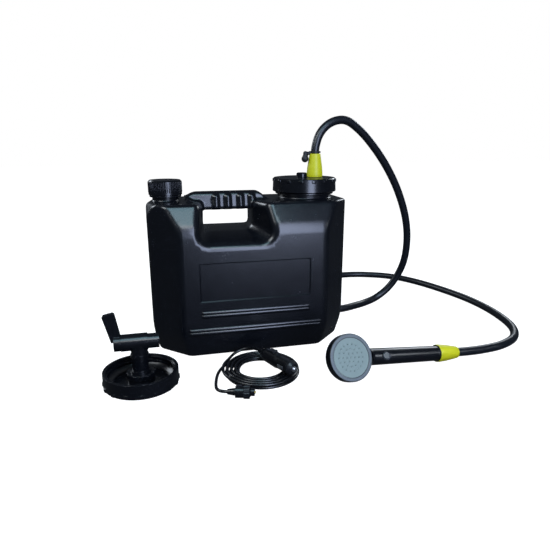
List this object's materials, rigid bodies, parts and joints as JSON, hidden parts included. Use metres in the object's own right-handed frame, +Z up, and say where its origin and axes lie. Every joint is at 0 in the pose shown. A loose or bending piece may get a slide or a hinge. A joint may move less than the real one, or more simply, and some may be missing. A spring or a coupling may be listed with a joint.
{
  "type": "camp shower pump kit",
  "caption": "Portable camp shower: jerry can with a submersible pump under its wide lid, hose with hand shower, spare tap lid and coiled 12 V lead.",
  "frame": {"origin": "centre of the can's base, on the ground", "axes": "+X to the right along the can's front, +Y to its back, +Z up"},
  "size_m": [0.7373, 0.5475, 0.3764],
  "materials": {
    "can_plastic": "satin blow-moulded polyethylene",
    "cap_plastic": "satin",
    "plate_plastic": "satin",
    "lime_plastic": "glossy",
    "clear_plastic": "milky",
    "pump_plastic": "satin",
    "handset_plastic": "glossy",
    "spray_face": "satin",
    "seal_rubber": "matt",
    "hose_rubber": "satin",
    "lead_rubber": "satin",
    "plug_plastic": "satin",
    "brass": "satin",
    "steel": "satin",
    "rotor_metal": "wound copper and steel",
    "magnet": "matt"
  },
  "bodies": {
    "kit": {"can_body": "can_plastic", "port_plate": "plate_plastic", "lid_gasket": "seal_rubber", "outlet_spigot": "cap_plastic", "spigot_nut": "cap_plastic", "power_socket": "cap_plastic", "socket_nut": "cap_plastic", "socket_pins": "brass", "hose_tails": "brass", "hose_washers": "seal_rubber", "shower_hose": "hose_rubber", "riser_tube": "clear_plastic", "riser_clips": "steel", "pump_top_cap": "pump_plastic", "pump_housing": "pump_plastic", "pump_strainer": "pump_plastic", "motor_can": "steel", "motor_end_plate": "plate_plastic", "motor_magnets": "magnet", "motor_bearings": "brass", "shaft_seal": "seal_rubber", "pump_cable": "lead_rubber", "handset_shell": "handset_plastic", "handset_bezel": "handset_plastic", "spray_plate": "spray_face", "nozzle_mat": "seal_rubber", "head_seal": "seal_rubber", "button_spring": "steel", "tap_cap": "cap_plastic", "tap_gasket": "seal_rubber", "tap_body": "cap_plastic", "tap_nut": "cap_plastic", "lead_coil": "lead_rubber", "lead_tail": "lead_rubber", "lead_plug_run": "lead_rubber", "lead_connector": "plug_plastic", "connector_pins": "brass", "car_plug_body": "plug_plastic", "car_plug_nose": "plate_plastic", "car_plug_fuse": "clear_plastic", "tip_spring": "steel", "side_contacts": "steel"},
    "filler_seal": {"filler_liner": "clear_plastic"},
    "filler_cap": {"filler_cap": "cap_plastic"},
    "lid_seal": {"lid_slip_ring": "clear_plastic"},
    "lid": {"lid_ring": "cap_plastic"},
    "tap_turn": {"tap_lever": "cap_plastic", "tap_plug": "cap_plastic", "tap_lever_screw": "steel", "tap_o_rings": "seal_rubber"},
    "rotor": {"impeller": "lime_plastic", "motor_shaft": "steel", "rotor_core": "rotor_metal"},
    "rocker": {"rocker_switch": "plug_plastic"},
    "plug_tip": {"car_plug_tip": "steel"},
    "flow_button": {"flow_button": "handset_plastic"},
    "lid_hose_nut": {"lid_hose_nut": "lime_plastic"},
    "handset_hose_nut": {"handset_hose_nut": "lime_plastic"},
    "connector_ring": {"connector_ring": "plate_plastic"},
    "dust_plug": {"dust_plug": "seal_rubber"}
  },
  "joints": [
    {"name": "filler_cap_rise", "type": "slide", "parent": "kit", "child": "filler_seal", "axis": [0, 0, 1], "range_m": [0, 0.01]},
    {"name": "filler_cap_turn", "type": "hinge", "parent": "filler_seal", "child": "filler_cap", "pos_m": [-0.1305, 0, 0.262], "axis": [0, 0, 1], "range_deg": [0, 900]},
    {"name": "lid_rise", "type": "slide", "parent": "kit", "child": "lid_seal", "axis": [0, 0, 1], "range_m": [0, 0.009]},
    {"name": "lid_turn", "type": "hinge", "parent": "lid_seal", "child": "lid", "pos_m": [0.101, 0, 0.262], "axis": [0, 0, 1], "range_deg": [0, 540]},
    {"name": "tap_lever_turn", "type": "hinge", "parent": "kit", "child": "tap_turn", "pos_m": [-0.207, -0.1425, 0.0635], "axis": [1, 0, 0], "range_deg": [0, 90]},
    {"name": "rotor_spin", "type": "hinge", "parent": "kit", "child": "rotor", "pos_m": [0.122, 0.008, 0.07], "axis": [0, 0, 1], "continuous": true},
    {"name": "rocker_tilt", "type": "hinge", "parent": "kit", "child": "rocker", "pos_m": [0.00864, -0.15127, 0.0289], "axis": [0.9135, 0.4067, 0], "range_deg": [0, 14]},
    {"name": "plug_tip_press", "type": "slide", "parent": "kit", "child": "plug_tip", "axis": [-0.4067, 0.9135, 0], "range_m": [0, 0.003], "stiffness_N_per_m": 1500, "springref_m": -0.002, "deforming": ["tip_spring"]},
    {"name": "flow_button_press", "type": "slide", "parent": "kit", "child": "flow_button", "axis": [-0.1488, 0.8799, -0.4512], "range_m": [0, 0.0012], "stiffness_N_per_m": 1500, "springref_m": -0.001, "deforming": ["button_spring"]},
    {"name": "lid_hose_nut_turn", "type": "hinge", "parent": "kit", "child": "lid_hose_nut", "pos_m": [0.122, 0.008, 0.295], "axis": [0, 0, 1], "continuous": true},
    {"name": "handset_hose_nut_turn", "type": "hinge", "parent": "kit", "child": "handset_hose_nut", "pos_m": [0.28239, -0.18275, 0.01314], "axis": [0.9878, 0.1108, -0.1097], "continuous": true},
    {"name": "connector_ring_turn", "type": "hinge", "parent": "kit", "child": "connector_ring", "pos_m": [-0.04501, -0.22267, 0.0093], "axis": [0.9613, -0.2756, 0], "range_deg": [0, 90]},
    {"name": "dust_plug_swing", "type": "hinge", "parent": "kit", "child": "dust_plug", "pos_m": [0.122, 0.008, 0.316], "axis": [0, 0, 1], "range_deg": [-90, 90]}
  ],
  "couplings": [
    {"joint": "filler_cap_rise", "follows": "filler_cap_turn", "m_per_rad": 0.00063662},
    {"joint": "lid_rise", "follows": "lid_turn", "m_per_rad": 0.00095493}
  ]
}
